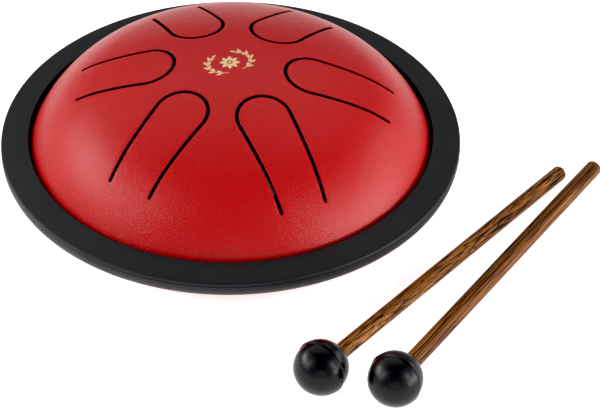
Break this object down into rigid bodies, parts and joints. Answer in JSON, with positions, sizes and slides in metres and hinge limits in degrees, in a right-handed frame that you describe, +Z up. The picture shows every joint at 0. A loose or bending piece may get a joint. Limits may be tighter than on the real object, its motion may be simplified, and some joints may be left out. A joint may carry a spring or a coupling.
{
  "type": "steel tongue drum",
  "caption": "Small domed steel tongue drum with a rubber rim ring and rubber feet, and a pair of wooden mallets with rubber ball heads beside it.",
  "frame": {"origin": "middle of the footprint of the drum and its two mallets, on the surface that they stand on", "axes": "+Z up; the longest tongue lies towards -Y of the drum's own axis, which stands at x = -26.4 mm and y = 30.5 mm"},
  "size_m": [0.2456, 0.2538, 0.0723],
  "materials": {
    "drum_enamel": "satin",
    "ring_rubber": "satin",
    "foot_rubber": "matte",
    "fastener_steel": "satin",
    "mallet_rubber": "satin",
    "mallet_wood": "satin",
    "emblem_gold": "satin"
  },
  "bodies": {
    "drum": {"top_shell": "drum_enamel", "bottom_shell": "drum_enamel", "rim_ring": "ring_rubber", "foot_1": "foot_rubber", "foot_2": "foot_rubber", "foot_3": "foot_rubber", "foot_screw_1": "fastener_steel", "foot_screw_2": "fastener_steel", "foot_screw_3": "fastener_steel", "foot_washer_1": "fastener_steel", "foot_washer_2": "fastener_steel", "foot_washer_3": "fastener_steel", "foot_nut_1": "fastener_steel", "foot_nut_2": "fastener_steel", "foot_nut_3": "fastener_steel"},
    "tongue_1": {"tongue_1": "drum_enamel"},
    "tongue_2": {"tongue_2": "drum_enamel"},
    "tongue_3": {"tongue_3": "drum_enamel"},
    "tongue_4": {"tongue_4": "drum_enamel"},
    "tongue_5": {"tongue_5": "drum_enamel"},
    "tongue_6": {"tongue_6": "drum_enamel"},
    "mallet_1": {"mallet_head_1": "mallet_rubber", "mallet_stick_1": "mallet_wood"},
    "mallet_2": {"mallet_head_2": "mallet_rubber", "mallet_stick_2": "mallet_wood"}
  },
  "joints": [
    {"name": "tongue_1_flex", "type": "hinge", "parent": "drum", "child": "tongue_1", "pos_m": [-0.02642, -0.04171, 0.04832], "axis": [-1, 0, 0], "range_deg": [-0.5, 0.5], "stiffness_Nm_per_rad": 77},
    {"name": "tongue_2_flex", "type": "hinge", "parent": "drum", "child": "tongue_2", "pos_m": [0.03147, -0.00289, 0.05322], "axis": [-0.5, -0.866, 0], "range_deg": [-0.5, 0.5], "stiffness_Nm_per_rad": 86},
    {"name": "tongue_3_flex", "type": "hinge", "parent": "drum", "child": "tongue_3", "pos_m": [0.02455, 0.05996, 0.05843], "axis": [0.5, -0.866, 0], "range_deg": [-0.5, 0.5], "stiffness_Nm_per_rad": 106},
    {"name": "tongue_4_flex", "type": "hinge", "parent": "drum", "child": "tongue_4", "pos_m": [-0.02642, 0.08609, 0.06003], "axis": [1, 0, 0], "range_deg": [-0.5, 0.5], "stiffness_Nm_per_rad": 117},
    {"name": "tongue_5_flex", "type": "hinge", "parent": "drum", "child": "tongue_5", "pos_m": [-0.08085, 0.06196, 0.05608], "axis": [0.5, 0.866, 0], "range_deg": [-0.5, 0.5], "stiffness_Nm_per_rad": 95},
    {"name": "tongue_6_flex", "type": "hinge", "parent": "drum", "child": "tongue_6", "pos_m": [-0.08674, -0.00429, 0.05085], "axis": [-0.5, 0.866, 0], "range_deg": [-0.5, 0.5], "stiffness_Nm_per_rad": 81},
    {"name": "mallet_1_lift", "type": "slide", "parent": "drum", "child": "mallet_1", "axis": [0, 0, 1], "range_m": [0, 0.15]},
    {"name": "mallet_2_lift", "type": "slide", "parent": "drum", "child": "mallet_2", "axis": [0, 0, 1], "range_m": [0, 0.15]}
  ]
}
